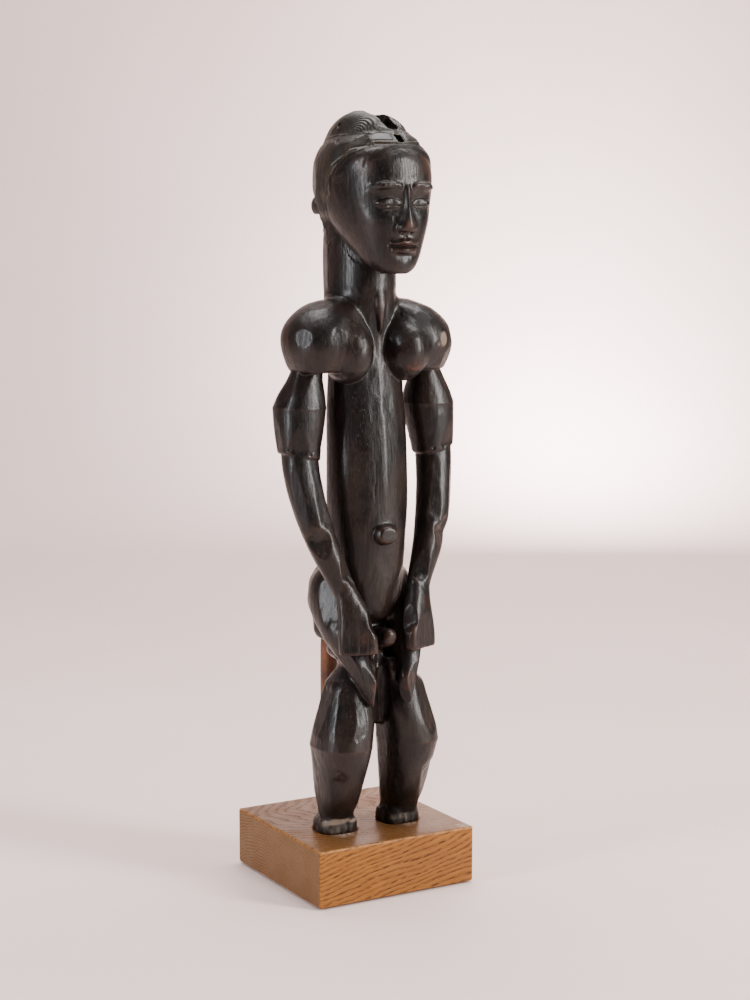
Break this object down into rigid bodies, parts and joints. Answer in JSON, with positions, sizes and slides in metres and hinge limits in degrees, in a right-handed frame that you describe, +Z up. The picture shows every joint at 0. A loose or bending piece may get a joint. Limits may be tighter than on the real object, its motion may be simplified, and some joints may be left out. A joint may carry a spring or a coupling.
{
  "type": "carved ancestor figure on a display base",
  "caption": "Standing carved guardian figure with hands on the thighs, which lifts off two pins in a square oak display base.",
  "frame": {"origin": "centre of the display base's underside, on the surface that it stands on", "axes": "+Z up; the figure faces -Y, so +X is the figure's own left"},
  "size_m": [0.1578, 0.1629, 0.6295],
  "materials": {
    "carved_wood": "near-black hardwood with an oiled, hand-rubbed patina",
    "hair_wood": "near-black hardwood with a dusty brown crust in the grooves",
    "post_wood": "reddish-brown hardwood, worn and dry",
    "oak": "oak, clear varnish, ring-porous grain",
    "plated_steel": "zinc-plated steel rod",
    "felt": "dark green wool felt"
  },
  "bodies": {
    "base": {"base_block": "oak", "base_felt": "felt", "right_mount_pin": "plated_steel", "left_mount_pin": "plated_steel", "pin_washers": "plated_steel", "pin_nuts": "plated_steel"},
    "figure": {"groin": "carved_wood", "hair_cap": "hair_wood", "head": "carved_wood", "left_calf": "carved_wood", "left_crest_lobe": "hair_wood", "left_foot": "carved_wood", "left_forearm": "carved_wood", "left_hand": "carved_wood", "left_shoulder": "carved_wood", "left_thigh": "carved_wood", "left_upper_arm": "carved_wood", "leg_bridge": "carved_wood", "nape_lug": "hair_wood", "nape_tress": "hair_wood", "navel": "carved_wood", "neck": "carved_wood", "pelvis": "carved_wood", "right_calf": "carved_wood", "right_crest_lobe": "hair_wood", "right_foot": "carved_wood", "right_forearm": "carved_wood", "right_hand": "carved_wood", "right_shoulder": "carved_wood", "right_thigh": "carved_wood", "right_upper_arm": "carved_wood", "support_post": "post_wood", "torso": "carved_wood"}
  },
  "joints": [
    {"name": "figure_lift", "type": "slide", "parent": "base", "child": "figure", "axis": [0, 0, 1], "range_m": [0, 0.055]}
  ]
}
